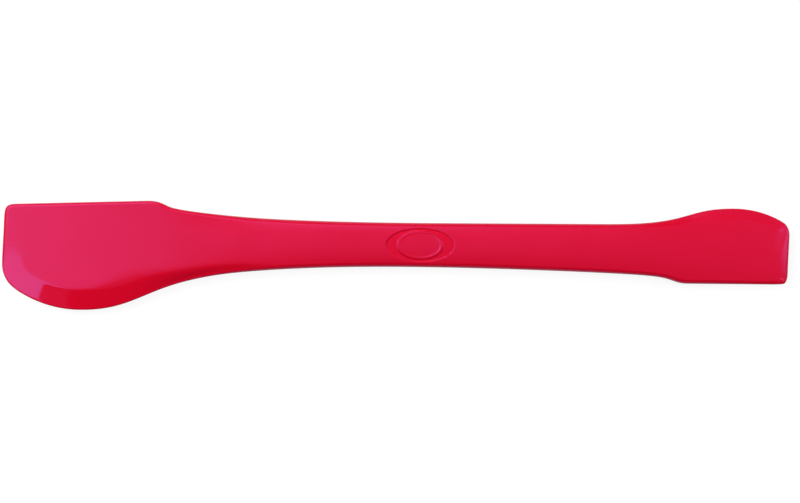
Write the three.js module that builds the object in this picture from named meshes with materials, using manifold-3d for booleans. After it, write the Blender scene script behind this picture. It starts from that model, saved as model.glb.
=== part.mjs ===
// Double-ended spatula: one red silicone moulding over a stiff nylon core.
// Millimetres, +Z up. The handle runs along X, with the large head at -X and the small head at +X.
// The origin is on the flat back of the handle, midway between the two tips.
import * as THREE from "three";
import { mergeVertices } from "three/addons/utils/BufferGeometryUtils.js";
import Module from "manifold-3d";

// Handle: a flat bar with soft edges and crowned faces, narrowest at its waist.
const LENGTH = 280;
const WAIST_AT = 6;
const WAIST_WIDTH = 15.75;
const HANDLE_THICKNESS = 9;
const HANDLE_EDGE_RADIUS = 1.5;
const CROWN_DROP = 1.5;
const LAND_WIDTH = 4;

// Shallow oval recess at the waist, with a plain raised oval on its floor. Both follow the crown.
const RECESS_AT = 8.7;
const RECESS_LENGTH = 24.4;
const RECESS_MARGIN = 1.7;
const RECESS_DEPTH = 0.5;
const OVAL_LENGTH = 16;
const OVAL_WIDTH = 9.4;
const OVAL_HEIGHT = 0.3;

// Each head has a straight back edge on one side and a curved scraping lip on the other.
// The lip is bevelled on both faces. The small head is the large one's layout turned half round.
// A head is drawn in its own frame: u runs inwards from the tip, v is positive towards the back edge.
// A neck is where a head's curve meets the handle's edge, and spread is how far it stands out there.
// A reach is how strongly a curve keeps its end direction, and flare is where the handle starts to widen.
// A side share is how thick a head is at its sides, compared with its middle: 1 is flat, less is a lens.
const LARGE_HEAD = {
  end: -1,
  tipThickness: 3.6,
  taperLength: 75,
  sideShare: 1,
  edgeRadius: 1.2,
  backAtTip: 12.9,
  backAtShoulder: 14.8,
  backCornerRadius: 2.2,
  shoulderAt: 55.8,
  shoulderRadius: 11,
  flankAngle: 33,
  flankReach: 3.5,
  backNeck: { at: 90, spread: 1.15, flare: 0.37, reach: 3 },
  lipApexAt: 28,
  lipDepth: 24.5,
  lipRadius: 41,
  lipReach: 21.8,
  lipNeck: { at: 84.3, spread: 2.65, flare: 0.41, reach: 34 },
  tipRadius: 10.5,
  tipLean: 2.3,
  lipWidth: 7.5,
  lipEdge: 1.8,
  lipStartsAt: 2,
  lipFullAt: -22,
  lipFadesFrom: 42,
  lipFadesTo: 100,
  coreEndsAt: 20,
  keyHolePitch: 11,
};
const SMALL_HEAD = {
  end: 1,
  tipThickness: 3.2,
  taperLength: 55,
  sideShare: 0.5,
  edgeRadius: 1.4,
  backAtTip: 12.6,
  backAtShoulder: 12.7,
  backCornerRadius: 2.2,
  shoulderAt: 38.7,
  shoulderRadius: 11.7,
  flankAngle: 20.6,
  flankReach: 4.5,
  backNeck: { at: 73.3, spread: 1.1, flare: 0.55, reach: 27 },
  lipApexAt: 19.5,
  lipDepth: 14.3,
  lipRadius: 34,
  lipReach: 18.3,
  lipNeck: { at: 64, spread: 0.4, flare: 0.94, reach: 30 },
  tipRadius: 5,
  tipLean: 2.1,
  lipWidth: 3.2,
  lipEdge: 1.8,
  lipStartsAt: 4,
  lipFullAt: -11,
  lipFadesFrom: 24,
  lipFadesTo: 56,
  coreEndsAt: 14,
  keyHolePitch: 8,
};

// The bevel's crease is rounded over this much on each side.
const CREASE_SOFTNESS = 0.5;

// Nylon core: a flat bar with a paddle in each head, keyed into the silicone by holes.
// Its pips reach through the back of the silicone: they hold it in the middle of the mould.
const FACE_COVER = 1.6;
const SIDE_COVER = 3;
const CORE_CORNER = 5;
const CORE_CLEARANCE = 0.3;
const KEY_HOLE_RADIUS = 2.5;
const KEY_HOLE_INSET = 10;
const KEY_HOLE_ROW = 15;
const PIP_RADIUS = 1.5;
const PIP_PITCH = 44;
const PIP_COUNT = 4;
const PIP_SINK = 0.3;

// Fineness of the faceted surfaces, and how far cutters run past what they cut.
const ACROSS = 8;
const ROUND = 48;
const OVERRUN = 1;

const kernel = await Module();
kernel.setup();

const { degToRad, lerp, smoothstep } = THREE.MathUtils;
const vec = (x, y) => new THREE.Vector2(x, y);
const HEADS = [LARGE_HEAD, SMALL_HEAD];

function solidOf(geometry) {
  geometry.deleteAttribute("normal");
  geometry.deleteAttribute("uv");
  const merged = mergeVertices(geometry, 1e-4);
  const mesh = new kernel.Mesh({
    numProp: 3,
    vertProperties: merged.getAttribute("position").array,
    triVerts: new Uint32Array(merged.index.array),
  });
  return new kernel.Manifold(mesh);
}

function geometryOf(solid) {
  const mesh = solid.getMesh();
  const geometry = new THREE.BufferGeometry();
  geometry.setAttribute("position", new THREE.BufferAttribute(mesh.vertProperties, 3));
  geometry.setIndex(new THREE.BufferAttribute(mesh.triVerts, 1));
  geometry.computeVertexNormals();
  return geometry;
}

// The outline of one head, as three chains of curves in the head's own frame.
// The tip chain goes from the middle of the lip corner to the middle of the back corner.
// The lip and back chains go from those corners to the waist.
function headChains(head) {
  const lean = degToRad(head.tipLean);
  const flank = degToRad(head.flankAngle);
  const rise = Math.atan2(head.backAtShoulder - head.backAtTip, head.shoulderAt);
  const arc = (centre, radius, from, to) =>
    new THREE.EllipseCurve(centre.x, centre.y, radius, radius, from, to, to < from);
  const onArc = (centre, radius, angle) => vec(radius, 0).rotateAround(vec(0, 0), angle).add(centre);
  const pathOf = (curves) => {
    const path = new THREE.CurvePath();
    curves.forEach((curve) => path.add(curve));
    return path;
  };

  // The tip corner rolls inside the lip's arc, and its outermost point is the tip itself.
  const lipCentre = vec(head.lipApexAt, head.lipRadius - head.lipDepth);
  const reach = head.lipRadius - head.tipRadius;
  const climb = Math.sqrt(reach ** 2 - (head.lipApexAt - head.tipRadius) ** 2);
  const tipCentre = vec(head.tipRadius, lipCentre.y - climb);
  const lipTurn = tipCentre.clone().sub(lipCentre).angle();

  // The back corner touches the leaning tip edge and the rising back edge.
  const tipInward = vec(Math.cos(lean), -Math.sin(lean));
  const backInward = vec(Math.sin(rise), -Math.cos(rise));
  const tipSide = tipInward.dot(tipCentre) - head.tipRadius + head.backCornerRadius;
  const backSide = backInward.dot(vec(0, head.backAtTip)) + head.backCornerRadius;
  const det = tipInward.cross(backInward);
  const backCentre = vec(
    (tipSide * backInward.y - backSide * tipInward.y) / det,
    (tipInward.x * backSide - backInward.x * tipSide) / det,
  );

  // The shoulder is a fillet between the back edge and the flank.
  const along = vec(Math.cos(rise), Math.sin(rise));
  const down = vec(Math.cos(flank), -Math.sin(flank));
  const cutBack = head.shoulderRadius * Math.tan((rise + flank) / 2);
  const shoulder = vec(head.shoulderAt, head.backAtShoulder);
  const shoulderStart = shoulder.clone().addScaledVector(along, -cutBack);
  const shoulderEnd = shoulder.clone().addScaledVector(down, cutBack);
  const shoulderCentre = shoulderStart.clone().addScaledVector(backInward, head.shoulderRadius);

  // From the head's last point, with its own tangent, through the neck to the waist.
  const waist = LENGTH / 2 - head.end * WAIST_AT;
  const toWaist = (start, tangent, neck, side) => {
    const neckPoint = vec(neck.at, side * (WAIST_WIDTH / 2 + neck.spread));
    const flare = vec(lerp(neck.at, waist, neck.flare), (side * WAIST_WIDTH) / 2);
    const out = neckPoint.clone().sub(flare).setLength(neck.reach);
    return [
      new THREE.CubicBezierCurve(start, start.clone().add(tangent), neckPoint.clone().add(out), neckPoint),
      new THREE.QuadraticBezierCurve(neckPoint, flare, vec(waist, (side * WAIST_WIDTH) / 2)),
    ];
  };

  const tipAngle = Math.PI - lean;
  const backAngle = Math.PI / 2 + rise;
  const lipMiddle = (tipAngle + lipTurn) / 2;
  const backMiddle = (tipAngle + backAngle) / 2;
  const lipApex = vec(head.lipApexAt, -head.lipDepth);
  return {
    tip: pathOf([
      arc(tipCentre, head.tipRadius, lipMiddle, tipAngle),
      new THREE.LineCurve(
        onArc(tipCentre, head.tipRadius, tipAngle),
        onArc(backCentre, head.backCornerRadius, tipAngle),
      ),
      arc(backCentre, head.backCornerRadius, tipAngle, backMiddle),
    ]),
    lip: pathOf([
      arc(tipCentre, head.tipRadius, lipMiddle, lipTurn),
      arc(lipCentre, head.lipRadius, lipTurn, 1.5 * Math.PI),
      ...toWaist(lipApex, vec(head.lipReach, 0), head.lipNeck, -1),
    ]),
    back: pathOf([
      arc(backCentre, head.backCornerRadius, backMiddle, backAngle),
      new THREE.LineCurve(onArc(backCentre, head.backCornerRadius, backAngle), shoulderStart),
      arc(shoulderCentre, head.shoulderRadius, backAngle, Math.PI / 2 - flank),
      ...toWaist(shoulderEnd, down.clone().multiplyScalar(head.flankReach), head.backNeck, 1),
    ]),
  };
}
const CHAINS = new Map(HEADS.map((head) => [head, headChains(head)]));

const fromTip = (head, x) => LENGTH / 2 - head.end * x;
const headAt = (x) => (x < WAIST_AT ? LARGE_HEAD : SMALL_HEAD);

// How far the handle's form has taken over from the head's: 0 at the shoulder, 1 at the neck.
const handleShare = (head, x) => smoothstep(fromTip(head, x), head.shoulderAt, head.backNeck.at);

// Half the thickness at x: each head thins in a straight wedge from the handle to its tip.
function halfThickness(x) {
  const head = headAt(x);
  const ease = 0.2;
  const s = fromTip(head, x) / head.taperLength;
  const rounded = 1 - (1 + ease - s) ** 2 / (4 * ease);
  const ramp = s < 1 - ease ? s : s > 1 + ease ? 1 : rounded;
  return lerp(head.tipThickness, HANDLE_THICKNESS, ramp) / 2;
}

// Height of the face above the mid-plane.
// A head is flat or a lens across, and the handle is crowned beside a flat land.
function faceHeight(x, y) {
  const head = headAt(x);
  const half = halfThickness(x);
  const share = handleShare(head, x);
  const lensDrop = (1 - head.sideShare) * half * (y / head.backAtShoulder) ** 2;
  if (share === 0) return half - lensDrop;
  const land = LAND_WIDTH / 2;
  const edge = Math.abs(edgeAt(x, y < 0 ? -1 : 1).at.y);
  const past = Math.max(0, Math.abs(y) - land) / (edge - land);
  return half - lerp(lensDrop, CROWN_DROP * past ** 2, share);
}

// One point of the outline, with its outward direction and its share of the lip's bevel.
function outlinePoint(head, chain, t) {
  const path = CHAINS.get(head)[chain];
  const { x: u, y: v } = path.getPoint(t);
  const way = path.getTangent(t);
  const side = chain === "lip" ? -1 : 1;
  const lip =
    (1 - smoothstep(v, head.lipFullAt, head.lipStartsAt)) *
    (1 - smoothstep(u, head.lipFadesFrom, head.lipFadesTo));
  return {
    head,
    lip: chain === "back" ? 0 : lip,
    at: vec(head.end * (LENGTH / 2 - u), -head.end * v),
    out: vec(head.end * side * way.y, -head.end * side * way.x),
  };
}

// The outline's point at x, on its +Y side or its -Y side.
function edgeAt(x, side) {
  const head = headAt(x);
  const chain = side === head.end ? "lip" : "back";
  const path = CHAINS.get(head)[chain];
  const depth = fromTip(head, x);
  let low = 0;
  let high = 1;
  for (let i = 0; i < 40; i += 1) {
    const middle = (low + high) / 2;
    if (path.getPoint(middle).x < depth) low = middle;
    else high = middle;
  }
  return outlinePoint(head, chain, low);
}

// The moulded edge at one outline point: a row of points from the mid-plane up on to the face.
// A plain edge is a wall with a rounded corner.
// The lip is a thin rounded edge, a long bevel and a soft crease.
function edgeRow({ head, lip, at, out }) {
  const wanted = lerp(head.edgeRadius, HANDLE_EDGE_RADIUS, handleShare(head, at.x));
  const radius = Math.min(wanted, 0.9 * faceHeight(at.x, at.y));
  const thin = head.lipEdge / 2;
  const nose = 0.7 * thin;
  const creaseStart = head.lipWidth - CREASE_SOFTNESS;
  const creaseEnd = head.lipWidth + CREASE_SOFTNESS;
  const far = 1 - Math.cos(Math.PI / 6);
  const near = 1 - Math.sin(Math.PI / 6);
  const plainInsets = [0, 0, far * radius, near * radius, radius, 1.1 * radius, 1.2 * radius];
  const lipInsets = [0, 0, far * nose, near * nose, nose, creaseStart, creaseEnd];
  return plainInsets.map((inset, k) => {
    const p = at.clone().addScaledVector(out, -lerp(inset, lipInsets[k], lip));
    const face = faceHeight(p.x, p.y);
    const bevelTop = lerp(thin, face, (creaseStart - nose) / (head.lipWidth - nose));
    const plain = [0, face - radius, face - near * radius, face - far * radius, face, face, face];
    const bevelled = [0, thin - nose, thin - near * nose, thin - far * nose, thin, bevelTop, face];
    return new THREE.Vector3(p.x, p.y, lerp(plain[k], bevelled[k], lip));
  });
}

// Stations along the tool, closer together where the outline turns.
function stations() {
  const cornerDepth = (head) => {
    const { lip, back } = CHAINS.get(head);
    return Math.max(lip.getPoint(0).x, back.getPoint(0).x) + 0.3 * head.backCornerRadius;
  };
  const large = (u) => u - LENGTH / 2;
  const small = (u) => LENGTH / 2 - u;
  const marks = [
    [large(cornerDepth(LARGE_HEAD)), 9],
    [large(LARGE_HEAD.lipApexAt), 7],
    [large(LARGE_HEAD.shoulderAt - 0.5 * LARGE_HEAD.shoulderRadius), 10],
    [large(LARGE_HEAD.shoulderAt + 1.5 * LARGE_HEAD.shoulderRadius), 12],
    [WAIST_AT, 12],
    [small(SMALL_HEAD.shoulderAt + 1.5 * SMALL_HEAD.shoulderRadius), 10],
    [small(SMALL_HEAD.shoulderAt - 0.5 * SMALL_HEAD.shoulderRadius), 5],
    [small(SMALL_HEAD.lipApexAt), 8],
    [small(cornerDepth(SMALL_HEAD)), 1],
  ];
  const xs = [];
  for (let i = 0; i + 1 < marks.length; i += 1) {
    const [from, count] = marks[i];
    for (let k = 0; k < count; k += 1) xs.push(lerp(from, marks[i + 1][0], k / count));
  }
  xs.push(marks.at(-1)[0]);
  return xs;
}

// The outer form: an edge band swept round the outline, and a face laid across it from side to side.
function moulding() {
  const xs = stations();
  const columns = xs.length + 1;
  const steps = Array.from({ length: ACROSS + 1 }, (_, j) => j / ACROSS);
  const left = steps.map((t) => outlinePoint(LARGE_HEAD, "tip", t));
  const right = steps.map((t) => outlinePoint(SMALL_HEAD, "tip", 1 - t));
  const lower = xs.map((x) => edgeAt(x, -1));
  const upper = xs.map((x) => edgeAt(x, 1));
  const ring = [left[0], ...lower, ...right, ...upper.reverse(), ...left.slice(1).reverse()];
  const bands = ring.map(edgeRow);
  const inner = bands.map((rows) => rows.at(-1));

  const facePoint = (i, j) => {
    const across = columns + ACROSS + columns - i;
    if (j === 0) return inner[i];
    if (j === ACROSS) return inner[across];
    if (i === columns) return inner[columns + j];
    if (i === 0) return inner[ring.length - j];
    const p = inner[i].clone().lerp(inner[across], j / ACROSS);
    return p.setZ(faceHeight(p.x, p.y));
  };

  const position = [];
  const quad = (a, b, c, d) => {
    [a, b, c, a, c, d].forEach((p) => position.push(p.x, p.y, HANDLE_THICKNESS / 2 + p.z));
    [a, c, b, a, d, c].forEach((p) => position.push(p.x, p.y, HANDLE_THICKNESS / 2 - p.z));
  };
  bands.forEach((rows, s) => {
    const next = bands[(s + 1) % bands.length];
    for (let k = 0; k + 1 < rows.length; k += 1) quad(rows[k], next[k], next[k + 1], rows[k + 1]);
  });
  for (let i = 0; i < columns; i += 1) {
    for (let j = 0; j < ACROSS; j += 1) {
      quad(facePoint(i, j), facePoint(i + 1, j), facePoint(i + 1, j + 1), facePoint(i, j + 1));
    }
  }
  const geometry = new THREE.BufferGeometry();
  geometry.setAttribute("position", new THREE.Float32BufferAttribute(position, 3));
  return solidOf(geometry);
}

function ovalSlab(length, width, bottom, top) {
  const shape = new THREE.Shape();
  shape.absellipse(RECESS_AT, 0, length / 2, width / 2, 0, 2 * Math.PI, false);
  const slab = new THREE.ExtrudeGeometry(shape, {
    depth: top - bottom,
    bevelEnabled: false,
    curveSegments: ROUND,
  });
  return solidOf(slab.translate(0, 0, bottom));
}

function post(radius, x, y, bottom, top) {
  const cylinder = new THREE.CylinderGeometry(radius, radius, top - bottom, ROUND / 2);
  return solidOf(cylinder.rotateX(Math.PI / 2).translate(x, y, (top + bottom) / 2));
}

// The core is as far in from the sides as the cover and the lip ask, and as thick as the cover leaves.
// Everything of it can be grown by a clearance, which gives the cavity that it lies in.
function coreEdge(x, side, grow) {
  const { at, lip, head } = edgeAt(x, side);
  return at.y - side * (SIDE_COVER + lip * head.lipWidth - grow);
}

const coreHeight = (x, grow) => halfThickness(x) - FACE_COVER + grow;

function corePlan(start, end, xs, grow) {
  const low = (x) => coreEdge(x, -1, grow);
  const high = (x) => coreEdge(x, 1, grow);
  const [first, last] = [xs[0], xs.at(-1)];
  const plan = new THREE.Shape();
  plan.moveTo(start, low(start) + CORE_CORNER);
  plan.quadraticCurveTo(start, low(start), first, low(first));
  xs.slice(1).forEach((x) => plan.lineTo(x, low(x)));
  plan.quadraticCurveTo(end, low(end), end, low(end) + CORE_CORNER);
  plan.lineTo(end, high(end) - CORE_CORNER);
  plan.quadraticCurveTo(end, high(end), last, high(last));
  xs.slice(0, -1).reverse().forEach((x) => plan.lineTo(x, high(x)));
  plan.quadraticCurveTo(start, high(start), start, high(start) - CORE_CORNER);
  return plan;
}

function coreProfile(xs, grow) {
  const profile = new THREE.Shape();
  profile.moveTo(xs[0], -coreHeight(xs[0], grow));
  xs.slice(1).forEach((x) => profile.lineTo(x, -coreHeight(x, grow)));
  xs.slice().reverse().forEach((x) => profile.lineTo(x, coreHeight(x, grow)));
  return profile;
}

// Two key holes side by side in each paddle, one more behind the large pair, and one between pips.
function keyHoles(pips) {
  const middle = (x) => (coreEdge(x, -1, 0) + coreEdge(x, 1, 0)) / 2;
  const pairs = HEADS.flatMap((head) => {
    const x = head.end * (LENGTH / 2 - head.coreEndsAt - KEY_HOLE_INSET);
    return [-1, 1].map((side) => vec(x, middle(x) + (side * head.keyHolePitch) / 2));
  });
  const single = pairs[0].x + KEY_HOLE_ROW;
  const between = pips.slice(1).map((x) => x - PIP_PITCH / 2);
  return [...pairs, ...[single, ...between].map((x) => vec(x, middle(x)))];
}

function core(grow, pipBottom) {
  const start = LARGE_HEAD.coreEndsAt - LENGTH / 2 - grow;
  const end = LENGTH / 2 - SMALL_HEAD.coreEndsAt + grow;
  const share = (i) => lerp(start + CORE_CORNER, end - CORE_CORNER, i / ROUND);
  const xs = Array.from({ length: ROUND + 1 }, (_, i) => share(i));
  const flat = new THREE.ExtrudeGeometry(corePlan(start, end, xs, grow), {
    depth: HANDLE_THICKNESS,
    bevelEnabled: false,
    curveSegments: ROUND / 6,
  });
  const width = 4 * LARGE_HEAD.lipDepth;
  const wedge = new THREE.ExtrudeGeometry(coreProfile([start - OVERRUN, ...xs, end + OVERRUN], grow), {
    depth: width,
    bevelEnabled: false,
  });
  wedge.rotateX(Math.PI / 2).translate(0, width / 2, HANDLE_THICKNESS / 2);
  let solid = solidOf(flat).intersect(solidOf(wedge));

  const pips = Array.from({ length: PIP_COUNT }, (_, i) => (i - (PIP_COUNT - 1) / 2) * PIP_PITCH);
  pips.forEach((x) => {
    solid = solid.add(post(PIP_RADIUS + grow, x, 0, pipBottom, HANDLE_THICKNESS / 2));
  });
  keyHoles(pips).forEach(({ x, y }) => {
    const hole = post(KEY_HOLE_RADIUS - grow, x, y, -OVERRUN, HANDLE_THICKNESS + OVERRUN);
    solid = solid.subtract(hole);
  });
  return solid;
}

// The recess goes down to a copy of the outer form that lies deeper, and the oval up to one less deep.
const body = moulding();
const deeper = (depth) => body.translate([0, 0, -depth]);
const middle = HANDLE_THICKNESS / 2;
const above = HANDLE_THICKNESS + OVERRUN;
const recessWidth = WAIST_WIDTH - 2 * RECESS_MARGIN;
const recess = ovalSlab(RECESS_LENGTH, recessWidth, middle, above).subtract(deeper(RECESS_DEPTH));
const oval = ovalSlab(OVAL_LENGTH, OVAL_WIDTH, middle, above).intersect(deeper(RECESS_DEPTH - OVAL_HEIGHT));
const cavity = core(CORE_CLEARANCE, -OVERRUN);
const silicone = body.subtract(recess).add(oval).subtract(cavity);
const nylon = core(0, PIP_SINK);

const part = new THREE.Group();
part.name = "double_ended_spatula";
const pieces = [
  ["silicone_body", silicone, { color: 0xdf2450, roughness: 0.42, metalness: 0 }],
  ["nylon_core", nylon, { color: 0x2e2c2d, roughness: 0.6, metalness: 0 }],
];
for (const [name, solid, finish] of pieces) {
  const mesh = new THREE.Mesh(geometryOf(solid), new THREE.MeshStandardMaterial(finish));
  mesh.name = name;
  part.add(mesh);
}

export default part;
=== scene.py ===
# %% [markdown]
# # A double-ended silicone spatula
# The tool is one soft red moulding over a hidden stiff core: a flat waisted handle, a broad
# scraping head at one end and a small one at the other. The solid model gives every size. Here
# the silicone gets a smooth skin and its finish. Then the light and the camera are set up as in a
# product photograph taken from straight above.

# %% Load the solid model
import math

import bmesh
import bpy
from mathutils import Matrix, Vector


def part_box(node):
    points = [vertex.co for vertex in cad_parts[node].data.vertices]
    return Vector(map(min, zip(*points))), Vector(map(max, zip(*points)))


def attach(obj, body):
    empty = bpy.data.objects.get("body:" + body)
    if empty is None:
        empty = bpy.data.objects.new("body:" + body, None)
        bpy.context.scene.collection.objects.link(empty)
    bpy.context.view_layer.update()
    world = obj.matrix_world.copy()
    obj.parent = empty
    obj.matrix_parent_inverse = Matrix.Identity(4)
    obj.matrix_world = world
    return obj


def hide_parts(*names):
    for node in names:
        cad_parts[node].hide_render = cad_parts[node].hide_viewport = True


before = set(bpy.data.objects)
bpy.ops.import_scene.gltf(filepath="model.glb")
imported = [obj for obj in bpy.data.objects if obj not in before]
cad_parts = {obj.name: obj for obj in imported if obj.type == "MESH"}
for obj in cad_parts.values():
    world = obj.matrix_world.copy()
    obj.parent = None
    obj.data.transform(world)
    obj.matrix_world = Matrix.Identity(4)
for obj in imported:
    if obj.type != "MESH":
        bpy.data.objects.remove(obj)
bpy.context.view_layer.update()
MM = 0.001
low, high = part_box("silicone_body")
MID = (low.z + high.z) / 2
LENGTH = 280 * MM

# %% [markdown]
# ## The camera
# The photograph looks straight down, and the picture is as wide as 284.5 mm at the tool. The tool
# lies turned by two thirds of a degree in the picture. Turning the tool would take it out of the
# solid model's frame, so the camera is rolled instead. A long lens from far away keeps the two
# heads in proportion. The camera comes first, because everything else is judged through it.

# %% Place the camera
DISTANCE = 1.3
PICTURE_WIDTH = 0.2845
SENSOR = 36
ROLL = 0.66
camera = bpy.data.objects.new("camera", bpy.data.cameras.new("camera"))
bpy.context.collection.objects.link(camera)
camera.data.sensor_width = SENSOR
camera.data.lens = SENSOR * (DISTANCE - MID) / PICTURE_WIDTH
camera.data.clip_end = 20
camera.location = (1.53 * MM, -2.37 * MM, DISTANCE)
camera.rotation_euler = (0, 0, math.radians(ROLL))
bpy.context.scene.camera = camera
print("camera:", round(camera.data.lens, 1), "mm lens at", DISTANCE, "m")

# %% [markdown]
# ## The outline
# Seen from above, the tool is all outline. It could be drawn again as a curve, but two drawings
# never agree. So it is read off the solid itself: the ring of points at half height, where the
# front half of the moulding meets the back half.

# %% Read the outline off the solid
def rim_points(node, height):
    """The solid's ring of points at this height, in order round the tool."""
    bm = bmesh.new()
    bm.from_mesh(node.data)
    bmesh.ops.remove_doubles(bm, verts=bm.verts, dist=1e-6)
    ring = {v for v in bm.verts if abs(v.co.z - height) < 1e-6}
    here = min(ring, key=lambda v: v.co.x)
    points, seen = [], set()
    while here:
        seen.add(here)
        points.append(here.co.copy())
        around = [e.other_vert(here) for e in here.link_edges]
        here = next((v for v in around if v in ring and v not in seen), None)
    bm.free()
    turn = sum(p.x * q.y - q.x * p.y for p, q in zip(points, points[1:] + points[:1]))
    return points if turn > 0 else points[::-1]


rim = rim_points(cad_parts["silicone_body"], MID)
print("rim:", len(rim), "points on the solid")

# %% [markdown]
# The solid is made of short straight pieces, which would show as facets in the edge's reflections.
# A Bezier spline with automatic handles runs through the same points and rounds the pieces off.

# %% Run a spline through the outline
SPLINE_STEPS = 8


def spline_through(points, steps):
    """A closed smooth curve through the points, as many finer points."""
    curve = bpy.data.curves.new("outline", "CURVE")
    curve.dimensions = "3D"
    curve.resolution_u = steps
    spline = curve.splines.new("BEZIER")
    spline.bezier_points.add(len(points) - 1)
    spline.use_cyclic_u = True
    for knot, point in zip(spline.bezier_points, points):
        knot.co = point
        knot.handle_left_type = knot.handle_right_type = "AUTO"
    drawn = bpy.data.objects.new("outline", curve)
    bpy.context.collection.objects.link(drawn)
    bpy.context.view_layer.update()
    fine = [v.co.copy() for v in drawn.to_mesh().vertices]
    drawn.to_mesh_clear()
    bpy.data.objects.remove(drawn)
    bpy.data.curves.remove(curve)
    return fine


outline = spline_through(rim, SPLINE_STEPS)
print("outline:", len(outline), "points on the spline")

# %% [markdown]
# ## Four sides
# The face of the tool could be filled with one many-sided polygon, but that subdivides badly. It
# will be a net of quads, and a net has four sides. The outline is parted at the four tip corners,
# where it faces halfway between along and across: that gives a lower side, a right tip, an upper
# side and a left tip. Each point also knows which way is out, because the edge is rounded that way.

# %% Part the outline at its corners
def outward(i):
    way = outline[(i + 1) % len(outline)] - outline[i - 1]
    return Vector((way.y, -way.x, 0)).normalized()


facing = [outward(i) for i in range(len(outline))]
corners = []
for way in ((-1, -1), (1, -1), (1, 1), (-1, 1)):
    aim = Vector((*way, 0)).normalized()
    corners.append(max(range(len(outline)), key=lambda i: facing[i].dot(aim)))


def side_between(start, end):
    """Points and their outward directions, anticlockwise from one corner to the next."""
    count = (end - start) % len(outline)
    places = [(start + k) % len(outline) for k in range(count + 1)]
    return [(outline[i], facing[i]) for i in places]


lower, right, upper, left = [side_between(corners[k], corners[(k + 1) % 4]) for k in range(4)]
print("sides:", [len(s) for s in (lower, right, upper, left)], "points")

# %% [markdown]
# A place on a long side is asked for by how far along the tool it lies, and a place on a tip by its
# share of the tip's length. Both slide between two neighbouring points of the side.

# %% Find places on a side
def at_x(side, x):
    """Where a long side passes x."""
    for (p, n), (q, m) in zip(side, side[1:]):
        if min(p.x, q.x) <= x <= max(p.x, q.x) and p.x != q.x:
            t = (x - p.x) / (q.x - p.x)
            return p.lerp(q, t), n.lerp(m, t).normalized()


def at_share(side, share):
    """The point that lies this share of the way along a side."""
    lengths = [(q[0] - p[0]).length for p, q in zip(side, side[1:])]
    rest = share * sum(lengths)
    for (p, n), (q, m), length in zip(side, side[1:], lengths):
        if rest <= length:
            t = rest / length
            return p.lerp(q, t), n.lerp(m, t).normalized()
        rest -= length
    return side[-1]


width = at_x(upper, 0)[0].y - at_x(lower, 0)[0].y
print("width at the middle:", round(width / MM, 2), "mm")

# %% [markdown]
# ## The two heads
# Each head is a wedge that thins to its tip, with a lip along its curved side. The two share one
# layout, turned half round, so one class holds their sizes in millimetres. Lengths count from the
# tip, and heights from the middle line towards the straight back edge. Most are the solid model's
# own. The lip's tail, the small tip's round and the ends of the crease are finer here.

# %% Write down the heads' sizes
class Head:
    def __init__(self, end, **sizes):
        self.end = end
        for name, size in sizes.items():
            setattr(self, name, size * MM)

    def local(self, p):
        """Distance from the tip, and height towards the straight back edge."""
        return LENGTH / 2 - self.end * p.x, -self.end * p.y


large = Head(
    -1,
    tip=3.6, tip_round=1.2, taper=75, edge=1.2, shoulder=55.8, neck=90,
    lip=6.9, lip_edge=1.8, lip_wide=-13, lip_opens=9, lip_narrows=40, lip_ends=70,
    lip_full=-13, lip_starts=0.5, lip_fades=46, lip_gone=100,
    tail=2.6, tail_narrows=60, tail_ends=112,
    crease_sharp=-12, crease_soft=4, crease_blunt=28,
)
small = Head(
    1,
    tip=3.2, tip_round=4, taper=55, edge=1.4, shoulder=38.7, neck=73.3,
    lip=2.6, lip_edge=1.8, lip_wide=-4, lip_opens=9, lip_narrows=24, lip_ends=56,
    lip_full=-11, lip_starts=4, lip_fades=24, lip_gone=56,
    tail=0, tail_narrows=24, tail_ends=56,
    crease_sharp=-12, crease_soft=4, crease_blunt=8,
)
print("lips:", [round(head.lip / MM, 1) for head in (large, small)], "mm wide")

# %% [markdown]
# ## How thick the tool is
# Across the tool, the section changes all the way along: the handle's face is crowned, the large
# head's is flat, and the small head's is a flat lens. A few shapes could be lofted into each other,
# but a formula for the face's height over half height is smoother, and any point can ask it.

# %% Say how high the face stands
HANDLE = 9 * MM
CROWN = 1.5 * MM
WAIST_AT = 6 * MM
TAPER_SOFT_FROM, TAPER_SOFT_TO = 0.8, 1.2
SIDES_THINNER = {large: 0.0, small: 0.5}
LENS_HALF = 12.7 * MM


def mix(a, b, t):
    return a + (b - a) * t


def ease(x, start, end):
    t = min(1, max(0, (x - start) / (end - start)))
    return t * t * (3 - 2 * t)


def head_at(p):
    return large if p.x < WAIST_AT else small


def handle_share(p):
    head = head_at(p)
    return ease(head.local(p)[0], head.shoulder, head.neck)


def half_thickness(p):
    """A straight taper that runs into the handle's even thickness in a soft bend."""
    head = head_at(p)
    s = head.local(p)[0] / head.taper
    if s < TAPER_SOFT_FROM:
        ramp = s
    elif s > TAPER_SOFT_TO:
        ramp = 1
    else:
        ramp = 1 - (TAPER_SOFT_TO - s) ** 2 / 0.8
    return mix(head.tip, HANDLE, ramp) / 2


def face_height(p):
    half, share = half_thickness(p), handle_share(p)
    lens = SIDES_THINNER[head_at(p)] * half * (p.y / LENS_HALF) ** 2
    if share == 0:
        return half - lens
    edge, _ = at_x(lower if p.y < 0 else upper, p.x)
    crown = CROWN * (p.y / edge.y) ** 2
    return half - mix(lens, crown, share)


thick = [2 * half_thickness(Vector((x * MM, 0, 0))) for x in (0, -140, 140)]
print("thickness at the waist and the tips:", [round(t / MM, 2) for t in thick], "mm")

# %% [markdown]
# ## Where the lip is
# Most of the edge is plainly rounded, but one side of each head runs out into a lip: a thin edge, a
# broad bevel and a soft crease. The lip comes up round the tip corner and dies away again along the
# handle, with a long narrow tail on the large head. A bevel tool makes one width all along, so
# three values say what the lip is at each place instead: how wide its bevel is, and, from 0 to 1,
# how deep the bevel is and how blunt its crease is.

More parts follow.
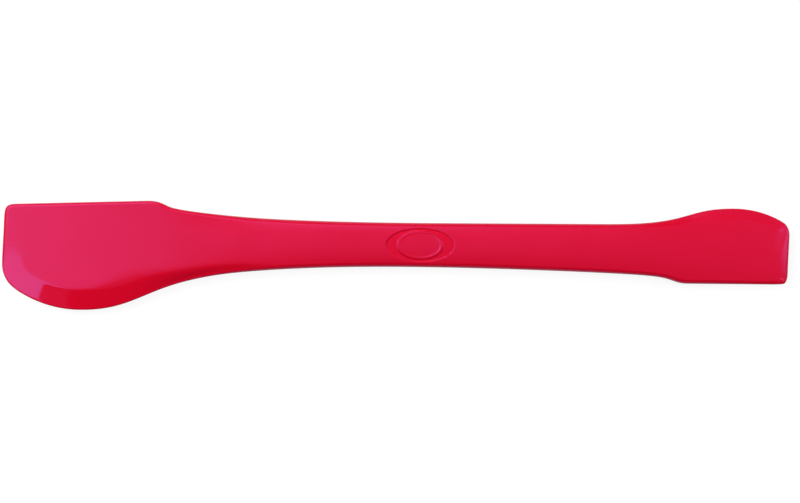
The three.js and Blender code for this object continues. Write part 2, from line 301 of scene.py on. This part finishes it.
# %% Say where the lip is
def lip_at(p):
    """How wide, how deep and how blunt the bevel is here."""
    head = head_at(p)
    u, v = head.local(p)
    wide = (head.lip - head.tail) * (1 - ease(u, head.lip_narrows, head.lip_ends))
    wide += head.tail * (1 - ease(u, head.tail_narrows, head.tail_ends))
    wide *= 1 - ease(v, head.lip_wide, head.lip_opens)
    deep = 1 - ease(v, head.lip_full, head.lip_starts)
    deep *= 1 - ease(u, head.lip_fades, head.lip_gone)
    blunt = max(ease(v, head.crease_sharp, head.crease_soft), ease(u, head.crease_blunt, head.shoulder))
    return wide, deep, blunt


for x in (-120, -90, -60):
    wide, deep, blunt = lip_at(at_x(lower, x * MM)[0])
    print("lip at", x, "mm:", round(wide / MM, 2), "mm wide, depth", round(deep, 2), "blunt", round(blunt, 2))

# %% [markdown]
# ## The edge
# At each outline point, the edge is a row of points from the face out to half height. On a plain
# edge, they lie on a quarter circle and a short wall, and at the small tip on a longer, flatter
# round. On the lip, they lie on the rounded crease, the bevel and a small round nose. The two rows
# have the same number of points, so they can be blended. Three points keep the bevel flat when the
# net is rounded later. The last two leave a hair-fine groove at half height: the line where the two
# halves of the mould met. Each point also says how far the mould was polished there: the tool is
# satin, and the large lip shines.

# %% Lay out the edge's row of points
HANDLE_EDGE = 1.5 * MM
CREASE = 0.5 * MM
BLUNT_INSIDE, BLUNT_OUTSIDE = 4.5 * MM, 1.8 * MM
INSIDE_MOST, OUTSIDE_MOST = 0.7, 0.4
NOSE = 0.7
ROUND_MOST = 0.85
TIP_FACING = (0.7, 0.99)
LIP_SHINE = {large: 1.0, small: 0.15}
PARTING = 0.05 * MM
SKIN = HAIR = 0.03 * MM
CREASE_STEPS = (0, 0.4, 0.7, 1)
BEVEL_STEPS = (0.12, 0.5, 0.88)
ROUND_STEPS = 5
TURNS = [math.pi / 2 * k / ROUND_STEPS for k in range(ROUND_STEPS + 1)]


def edge_row(at, out):
    head = head_at(at)
    wide, deep, blunt = lip_at(at)
    shine = LIP_SHINE[head] * deep
    radius = mix(head.edge, HANDLE_EDGE, handle_share(at))
    thin = head.lip_edge / 2
    nose = NOSE * thin
    plain = mix(radius, head.tip_round, ease(abs(out.x), *TIP_FACING))
    start = mix(plain, nose, deep)
    inside = min(mix(CREASE, BLUNT_INSIDE, blunt), INSIDE_MOST * wide)
    outside = min(mix(CREASE, BLUNT_OUTSIDE, blunt), OUTSIDE_MOST * wide)
    crease = inside + outside
    row = []

    def add(inset, height, polish):
        p = at - out * (SKIN + inset)
        row.append((Vector((p.x, p.y, height(face_height(p)))), polish))

    for t in CREASE_STEPS:
        sunk = deep * t * t * crease / (crease + 2 * (wide - outside) + HAIR)
        inset = start + wide + inside - t * crease + (3 - 2 * t) * HAIR
        add(inset, lambda face: face - sunk * (face - thin), shine * ease(t, 0.3, 1))
    for t in BEVEL_STEPS:
        inset = start + (1 - t) * (wide - outside + HAIR)
        add(inset, lambda face: face - mix(sunk, deep, t) * (face - thin), shine)
    for a in TURNS:
        drop = 1 - math.cos(a)
        add(
            start * (1 - math.sin(a)),
            lambda face: mix(face - min(radius, ROUND_MOST * face) * drop, thin - nose * drop, deep),
            shine,
        )
    add(0, lambda face: 2 * PARTING, shine)
    add(PARTING, lambda face: 0, shine)
    return row


print("edge:", len(edge_row(*at_x(lower, 0))), "points in a row")

# %% [markdown]
# ## The net's columns
# The columns of the face's net stand at chosen places along the tool, close together round the
# shoulders. On the handle, they are spaced so that a core pip falls in the middle of every twelfth
# cell. Each column has an edge row at both ends, and each tip has a row for every line of the net.

# %% Place the columns and their edge rows
PIP_PITCH = 44 * MM
PIPS = [(k - 1.5) * PIP_PITCH for k in range(4)]
STEP = PIP_PITCH / 12
ROWS = 16
TIP_GAP = 0.6 * MM

first = max(outline[corners[0]].x, outline[corners[3]].x) + TIP_GAP
last = min(outline[corners[1]].x, outline[corners[2]].x) - TIP_GAP
stretches = [
    (first, -114 * MM, 18),
    (-114 * MM, -92 * MM, 10),
    (-92 * MM, -20.5 * STEP, 10),
    (-20.5 * STEP, 22.5 * STEP, 43),
    (22.5 * STEP, 95 * MM, 6),
    (95 * MM, 106 * MM, 7),
    (106 * MM, last, 15),
]
columns = [mix(start, end, k / count) for start, end, count in stretches for k in range(count)]
columns.append(last)
COLUMNS = len(columns) + 1

rows_at = {}
for i, x in enumerate(columns, start=1):
    rows_at[i, 0] = edge_row(*at_x(lower, x))
    rows_at[i, ROWS] = edge_row(*at_x(upper, x))
for j in range(ROWS + 1):
    rows_at[0, j] = edge_row(*at_share(left, 1 - j / ROWS))
    rows_at[COLUMNS, j] = edge_row(*at_share(right, j / ROWS))
print("columns:", len(columns), "; edge rows:", len(rows_at))

# %% [markdown]
# ## The face
# The face is one grid from `create_grid`, drawn out to the tool's shape: its rows share out the
# width between the two edges. A tip is not straight, so near it the columns bend to follow the
# tip's own curve, and the bend fades out further in.

# %% Draw a grid out to the face
BEND_REACH = 30 * MM


def chord(i, j):
    """The place on the straight line between a column's two ends."""
    return rows_at[i, 0][0][0].lerp(rows_at[i, ROWS][0][0], j / ROWS)


def bend(i, j):
    """How far a tip's border departs from the straight line there."""
    return rows_at[i, j][0][0] - chord(i, j)


skin = bmesh.new()
bmesh.ops.create_grid(skin, x_segments=COLUMNS, y_segments=ROWS, size=1)
polish_of = skin.verts.layers.float.new("polish")
place = {}
for v in skin.verts:
    i, j = round((v.co.x + 1) / 2 * COLUMNS), round((v.co.y + 1) / 2 * ROWS)
    place[v] = (i, j)
    if (i, j) in rows_at:
        v.co = rows_at[i, j][0][0]
    else:
        x = columns[i - 1]
        p = chord(i, j) + (1 - ease(x, first, first + BEND_REACH)) * bend(0, j)
        p += ease(x, last - BEND_REACH, last) * bend(COLUMNS, j)
        v.co = (p.x, p.y, face_height(p))
on_face = skin.faces.layers.int.new("on_face")
for f in skin.faces:
    f[on_face] = 1
print("face:", len(skin.faces), "quads in", COLUMNS, "columns")

# %% [markdown]
# ## The edge band
# The rounded edge and the lip run all round the face. `extrude_edge_only` on the open border of the
# face makes one strip of quads after another, and after each extrusion every new point moves to the
# next place in its row. The new points know where they came from through the edge that joins them
# to the old ones, so no list of faces has to be worked out.

# %% Extrude the border out to half height
def extrude_ring(bm, ring, move):
    """Extrudes a ring of edges and moves each new point with move(old, new)."""
    made = bmesh.ops.extrude_edge_only(bm, edges=ring)["geom"]
    fresh = {g for g in made if isinstance(g, bmesh.types.BMVert)}
    for v in fresh:
        old = next(w for w in (e.other_vert(v) for e in v.link_edges) if w not in fresh)
        move(old, v)
    edges = [g for g in made if isinstance(g, bmesh.types.BMEdge) and fresh.issuperset(g.verts)]
    return edges, [g for g in made if isinstance(g, bmesh.types.BMFace)]


ring = [e for e in skin.edges if e.is_boundary]
for k in range(1, len(rows_at[0, 0])):

    def to_next(old, new):
        place[new] = place[old]
        new.co, new[polish_of] = rows_at[place[new]][k]

    ring, made = extrude_ring(skin, ring, to_next)
    for f in made:
        f[on_face] = 0
print("front half:", len(skin.faces), "quads")

# %% [markdown]
# ## The back
# The mould's two halves are alike, so the back is the front's mirror image. A Mirror modifier would
# do it too, but the recess and the pip holes are on one side only, so the mesh itself is mirrored.
# `mirror` welds the two along the parting line. Half height is still at zero here, which makes the
# mirror plane simple.

# %% Mirror the front to the back
everything = skin.verts[:] + skin.edges[:] + skin.faces[:]
bmesh.ops.mirror(skin, geom=everything, matrix=Matrix(), merge_dist=1e-7, axis="Z")
bmesh.ops.recalc_face_normals(skin, faces=skin.faces)
open_edges = sum(e.is_boundary for e in skin.edges)
print("both halves:", len(skin.faces), "quads, open edges:", open_edges)

# %% [markdown]
# ## Round windows in the net
# The oval recess and the pip holes are round, and the net is square. A boolean cut would leave
# slivers that pucker when the net is rounded. The old way is better: delete a block of quads, put a
# circle with as many points into the window, and let `bridge_loops` close the gap. The circle's
# points are turned to face the window's own points, so the bridge doesn't twist.

# %% Cut a window and bridge it to a ring
angle_of = {}


def oval_point(centre, half_length, half_width, angle):
    x = centre.x + half_length * math.cos(angle)
    y = centre.y + half_width * math.sin(angle)
    return Vector((x, y, 0))


def round_window(faces, side, centre, half_length, half_width, cuts):
    """Replaces these faces by a rim that leads to an oval ring on the same surface."""

    def angle_at(v):
        return math.atan2((v.co.y - centre.y) / half_width, (v.co.x - centre.x) / half_length)

    faces = set(faces)
    border = {e for f in faces for e in f.edges if any(g not in faces for g in e.link_faces)}
    bmesh.ops.delete(skin, geom=list(faces), context="FACES")
    angles = sorted(angle_at(v) for v in {v for e in border for v in e.verts})
    made = bmesh.ops.create_circle(skin, segments=len(angles), radius=1)["verts"]
    made.sort(key=lambda v: math.atan2(v.co.y, v.co.x))
    for v, angle in zip(made, angles):
        v.co = oval_point(centre, half_length, half_width, angle)
        v.co.z = side * face_height(v.co)
    ring = list({e for v in made for e in v.link_edges})
    spokes = bmesh.ops.bridge_loops(skin, edges=list(border) + ring)["edges"]
    cut = bmesh.ops.subdivide_edges(skin, edges=spokes, cuts=cuts, use_grid_fill=True)
    for v in cut["geom_inner"]:
        if isinstance(v, bmesh.types.BMVert):
            v.co.z = side * face_height(v.co)
    for v in {v for e in ring for v in e.verts}:
        angle_of[v] = angle_at(v)
    return ring


def sink_ring(ring, side, centre, half_length, half_width, depth, polish=0):
    """Extrudes a ring to another oval, at a depth below the crowned face."""

    def move(old, new):
        angle_of[new] = angle_of[old]
        new[polish_of] = polish
        new.co = oval_point(centre, half_length, half_width, angle_of[new])
        new.co.z = side * (face_height(new.co) - depth)

    return extrude_ring(skin, ring, move)


print("face over half height at the middle:", round(face_height(Vector()) / MM, 2), "mm")

# %% [markdown]
# ## The oval recess
# At the waist, the front has a shallow oval recess with a plain raised oval on its floor. The rings
# go over the rounded rim, down the wall, across the floor and up on to the raised oval, which has a
# low border of its own. All of it follows the crown, so each ring only has a size and a depth below
# the face. The recess's floor is polished.

# %% Sink the recess and raise the oval
OVAL = Vector((8.7 * MM, 0, 0))
HALF_L, HALF_W = 12.1 * MM, 6 * MM
WAIST = 7.875 * MM
RIM = 0.2 * MM
FLOOR_DEPTH, FLOOR_SHINE = 0.5, 1.0


def cells(side, x_from, x_to, y_most):
    """The face's quads between two places along the tool, on one side."""
    found = []
    for f in skin.faces:
        c = f.calc_center_median()
        if f[on_face] and side * c.z > 0 and x_from < c.x < x_to and abs(c.y) < y_most:
            found.append(f)
    return found


window = cells(1, OVAL.x - HALF_L - 2 * STEP, OVAL.x + HALF_L + 2 * STEP, WAIST)
ring = round_window(window, 1, OVAL, HALF_L + RIM, HALF_W + RIM, 3)
for grow, depth in ((0.06, 0.04), (-0.06, 0.14), (-0.12, 0.3), (-0.15, 0.46)):
    ring, _ = sink_ring(ring, 1, OVAL, HALF_L + grow * MM, HALF_W + grow * MM, depth * MM)
floor_sizes = [(11.85, 5.75), (11.5, 5.65), (9.8, 5.5), (8.45, 5.36)]
floor_rings = [(half_l, half_w, FLOOR_DEPTH) for half_l, half_w in floor_sizes]
rise_rings = [(8.3, 5.28, 0.48), (8.15, 5.18, 0.36), (8.05, 5.1, 0.24)]
border_rings = [(7.85, 4.95, 0.2), (7.4, 4.55, 0.2), (7.2, 4.37, 0.24), (7.07, 4.25, 0.34)]
panel_rings = [(6.85, 4.05, 0.38), (5.6, 2.9, 0.38), (3.4, 1.3, 0.38)]
for half_l, half_w, depth in floor_rings + rise_rings + border_rings + panel_rings:
    shine = FLOOR_SHINE if depth == FLOOR_DEPTH else 0
    ring, _ = sink_ring(ring, 1, OVAL, half_l * MM, half_w * MM, depth * MM, shine)
bmesh.ops.edgeloop_fill(skin, edges=ring)
print("recess:", len(window), "quads cut out for", len(angle_of), "ring points")

# %% [markdown]
# ## The pip holes
# The core is held in the middle of the mould by small pips on its back. They end just below the
# silicone's surface, and each shows as a dark dot in a round hole. Each hole is a window in the
# back, with a rounded rim and a floor, made with the same two helpers as the recess.

# %% Open the pip holes in the back
PIP_RIM = 1.8 * MM + 0.25 * MM
PIP_RINGS = ((1.9, 0.04), (1.81, 0.14), (1.8, 0.3), (1.8, 1.3), (1.7, 1.4), (0.8, 1.4))
for x in PIPS:
    spot = Vector((x, 0, 0))
    window = cells(-1, x - 1.5 * STEP, x + 1.5 * STEP, 3 * MM)
    ring = round_window(window, -1, spot, PIP_RIM, PIP_RIM, 1)
    for radius, depth in PIP_RINGS:
        ring, _ = sink_ring(ring, -1, spot, radius * MM, radius * MM, depth * MM)
    bmesh.ops.edgeloop_fill(skin, edges=ring)
print("pip holes:", len(PIPS), "; open edges:", sum(e.is_boundary for e in skin.edges))

# %% [markdown]
# ## The finished skin
# The net moves up by half the thickness, so that the back lies at zero. A much finer net could show
# every curve by itself, but one level of subdivision rounds what the rings only sketch. The piece
# stands for the solid silicone body and rides on the tool's one body.

# %% Make the skin an object
bmesh.ops.recalc_face_normals(skin, faces=skin.faces)
bmesh.ops.translate(skin, verts=skin.verts, vec=(0, 0, MID))
for f in skin.faces:
    f.smooth = True
mesh = bpy.data.meshes.new("silicone_skin")
skin.to_mesh(mesh)
skin.free()
silicone = bpy.data.objects.new("silicone_skin", mesh)
bpy.context.collection.objects.link(silicone)
rounding = silicone.modifiers.new("rounding", "SUBSURF")
rounding.levels = rounding.render_levels = 1
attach(silicone, "root")
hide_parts("silicone_body")
print("skin:", len(mesh.polygons), "faces before subdivision")

# %% [markdown]
# ## Tools for the finishes
# Moulded surfaces are never quite even, so every finish here starts from a noise. It reads Object
# coordinates, which are the piece's own metres, and so it stays the same size on every piece. A
# colour ramp turns it into a tint, and a Map Range node into a roughness.

# %% Make the material helpers
def new_material(name):
    material = bpy.data.materials.new(name)
    material.use_nodes = True
    nodes = material.node_tree.nodes
    return material, nodes, material.node_tree.links, nodes["Principled BSDF"]


def plug(links, value, socket):
    """Links another node's value to a socket, or sets a plain number there."""
    if isinstance(value, bpy.types.NodeSocket):
        links.new(value, socket)
    else:
        socket.default_value = value


def noise_at(nodes, links, scale, detail):
    """A noise in the piece's own coordinates, of so many cells to the metre."""
    where = nodes.new("ShaderNodeTexCoord")
    noise = nodes.new("ShaderNodeTexNoise")
    noise.inputs["Scale"].default_value = scale
    noise.inputs["Detail"].default_value = detail
    links.new(where.outputs["Object"], noise.inputs["Vector"])
    return noise.outputs["Fac"]


def ramp_between(nodes, links, value, stops):
    """Colours at two stops of a value."""
    ramp = nodes.new("ShaderNodeValToRGB")
    for element, (position, colour) in zip(ramp.color_ramp.elements, stops):
        element.position = position
        element.color = (*colour, 1)
    links.new(value, ramp.inputs["Fac"])
    return ramp.outputs["Color"]


def map_between(nodes, links, value, old, new):
    """A value from one range to another. A range's ends may be values of other nodes."""
    ranged = nodes.new("ShaderNodeMapRange")
    for name, end in zip(("From Min", "From Max", "To Min", "To Max"), (*old, *new)):
        plug(links, end, ranged.inputs[name])
    links.new(value, ranged.inputs["Value"])
    return ranged.outputs["Result"]


print("materials so far:", [m.name for m in bpy.data.materials])

# %% [markdown]
# ## Red silicone
# Silicone is a dense red. Where the mould was finely blasted, the surface is satin and carries a
# broad soft haze, and where the mould was polished, on the large lip and the recess's floor, it is
# clear and glossy. Two materials would leave a hard line between them, so one does both: the
# points' polish steers the roughness and the bump. A coarse noise adds the slight clouding of a
# moulded surface, and a much finer one the grain of the blasting. The haze is cooler than the red
# under it, which is what the specular tint is for.

# %% Mix the silicone
CLOUDS, GRAINS = 60, 2200
DULL_RED, BRIGHT_RED = (0.67, 0.0024, 0.020), (0.70, 0.0026, 0.022)
SATIN, POLISHED = (0.27, 0.33), 0.05
GRAIN_DEPTH = 0.02 * MM
GRAIN_SATIN, GRAIN_POLISHED = 0.3, 0.03

red, nodes, links, shader = new_material("red_silicone")
polish = nodes.new("ShaderNodeAttribute")
polish.attribute_name = "polish"
cloud = noise_at(nodes, links, CLOUDS, 1)
grain = noise_at(nodes, links, GRAINS, 3)
tint = ramp_between(nodes, links, cloud, ((0.1, DULL_RED), (0.9, BRIGHT_RED)))
links.new(tint, shader.inputs["Base Color"])
satin_rough = map_between(nodes, links, cloud, (0.1, 0.9), SATIN)
rough = map_between(nodes, links, polish.outputs["Fac"], (0, 1), (satin_rough, POLISHED))
links.new(rough, shader.inputs["Roughness"])
grain_share = map_between(nodes, links, polish.outputs["Fac"], (0, 1), (GRAIN_SATIN, GRAIN_POLISHED))
bump = nodes.new("ShaderNodeBump")
bump.inputs["Distance"].default_value = GRAIN_DEPTH
links.new(grain_share, bump.inputs["Strength"])
links.new(grain, bump.inputs["Height"])
links.new(bump.outputs["Normal"], shader.inputs["Normal"])
shader.inputs["Specular IOR Level"].default_value = 0.58
shader.inputs["Specular Tint"].default_value = (0.3, 0.25, 1.0, 1)
mesh.materials.append(red)
print("finish:", red.name)

# %% [markdown]
# ## The nylon core
# Only the ends of the pips show, on the back, so the core keeps the solid model's own shape and
# only gets a better finish. Its nylon is nearly black and matt, with pale flecks where glass fibres
# come to the surface.

# %% Mix the nylon
BLACK, FIBRE = (0.018, 0.017, 0.018), (0.09, 0.09, 0.085)
nylon, nodes, links, shader = new_material("black_glass_nylon")
fibres = noise_at(nodes, links, 1500, 6)
fleck = ramp_between(nodes, links, fibres, ((0.55, BLACK), (0.75, FIBRE)))
links.new(fleck, shader.inputs["Base Color"])
links.new(map_between(nodes, links, fibres, (0.4, 0.7), (0.5, 0.65)), shader.inputs["Roughness"])
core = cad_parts["nylon_core"]
core.data.materials.clear()
core.data.materials.append(nylon)
print("core material:", nylon.name)

# %% [markdown]
# ## The floor
# The tool lies on a white sweep, which the camera sees as pure white but for a faint shadow. More
# lamps could make a floor white, but they would bleach the tool too. So the floor itself glows, and
# only for the rays that come from the camera or from a glossy or clear surface. It lights nothing.

# %% Lay the floor
FLOOR_HALF = 12
FLOOR_GREY = 0.15
FLOOR_GLOW = 0.88


def math_of(nodes, links, operation, first_value, second_value):
    """The result of a Math node on two values."""
    node = nodes.new("ShaderNodeMath")
    node.operation = operation
    plug(links, first_value, node.inputs[0])
    plug(links, second_value, node.inputs[1])
    return node.outputs["Value"]


bm = bmesh.new()
bmesh.ops.create_grid(bm, x_segments=1, y_segments=1, size=FLOOR_HALF)
floor_mesh = bpy.data.meshes.new("floor")
bm.to_mesh(floor_mesh)
bm.free()
floor = bpy.data.objects.new("floor", floor_mesh)
bpy.context.collection.objects.link(floor)
white, nodes, links, shader = new_material("white_sweep")
shader.inputs["Base Color"].default_value = (FLOOR_GREY, FLOOR_GREY, FLOOR_GREY, 1)
shader.inputs["Roughness"].default_value = 0.9
shader.inputs["Specular IOR Level"].default_value = 0.1
shader.inputs["Emission Color"].default_value = (1, 1, 1, 1)
rays = nodes.new("ShaderNodeLightPath").outputs
seen = math_of(nodes, links, "MAXIMUM", rays["Is Camera Ray"], rays["Is Glossy Ray"])
seen = math_of(nodes, links, "MAXIMUM", seen, rays["Is Transmission Ray"])
links.new(math_of(nodes, links, "MULTIPLY", seen, FLOOR_GLOW), shader.inputs["Emission Strength"])
floor_mesh.materials.append(white)
print("floor:", 2 * FLOOR_HALF, "m wide")

# %% [markdown]
# ## The light
# Red silicone shows its form by what it mirrors, so the lamps are soft boxes and not bare bulbs. A
# broad box overhead lights all of it evenly. Smaller ones beside it lay a soft haze over the large
# head, which fades along the handle and comes back at the small tip. Lower down, the left box and
# the key box give the light its side. The polished lip mirrors the left box: its pale corner ends
# where that box ends. Three more draw the back edge and the small tip. None stands on the near
# side, so the lip along that side stays dark.

# %% Hang the lamps
def soft_box(name, place, aim, width, height, watts):
    lamp = bpy.data.lights.new(name, "AREA")
    lamp.shape = "RECTANGLE"
    lamp.size, lamp.size_y = width, height
    lamp.energy = watts
    holder = bpy.data.objects.new(name, lamp)
    holder.location = place
    holder.rotation_euler = (Vector(aim) - Vector(place)).to_track_quat("-Z", "Y").to_euler()
    holder.visible_camera = False
    bpy.context.collection.objects.link(holder)


soft_box("top_box", (0.1, 0.1, 1.6), (0.1, 0.1, 0), 1.8, 2.0, 3.5)
soft_box("top_left_box", (-0.55, 0.1, 1.6), (-0.55, 0.1, 0), 0.5, 0.8, 3.8)
soft_box("top_middle_box", (-0.15, 0.15, 1.6), (-0.15, 0.15, 0), 0.3, 0.7, 1.5)
soft_box("top_right_box", (0.8, 0.15, 1.6), (0.8, 0.15, 0), 0.5, 0.8, 1.5)
soft_box("left_box", (-0.52, -0.132, 0.8), (-0.52, -0.132, 0), 0.46, 0.425, 2.1)
soft_box("key_box", (-0.57, 0.28, 0.8), (-0.57, 0.28, 0), 0.39, 0.36, 4.6)
soft_box("back_box", (-0.28, 0.65, 0.7), (0, 0, 0), 0.6, 0.4, 4.0)
soft_box("right_box", (0.42, 0.06, 0.26), (0.14, 0, 0), 0.2, 0.25, 0.55)
soft_box("rim_box", (0.68, 0.68, 0.35), (0.08, 0, 0), 0.9, 0.3, 1.0)

# %% [markdown]
# A trace of white from all round keeps the darkest edges from going black. The Standard view shows
# colours as they are written, without a film's look.

# %% Set the world and the view
ALL_ROUND = 0.01
world = bpy.data.worlds.new("studio")
bpy.context.scene.world = world
world.use_nodes = True
surround = world.node_tree.nodes["Background"].inputs
surround["Color"].default_value = (1, 1, 1, 1)
surround["Strength"].default_value = ALL_ROUND
bpy.context.scene.view_settings.view_transform = "Standard"
print("world:", world.name, ALL_ROUND, "; view:", bpy.context.scene.view_settings.view_transform)
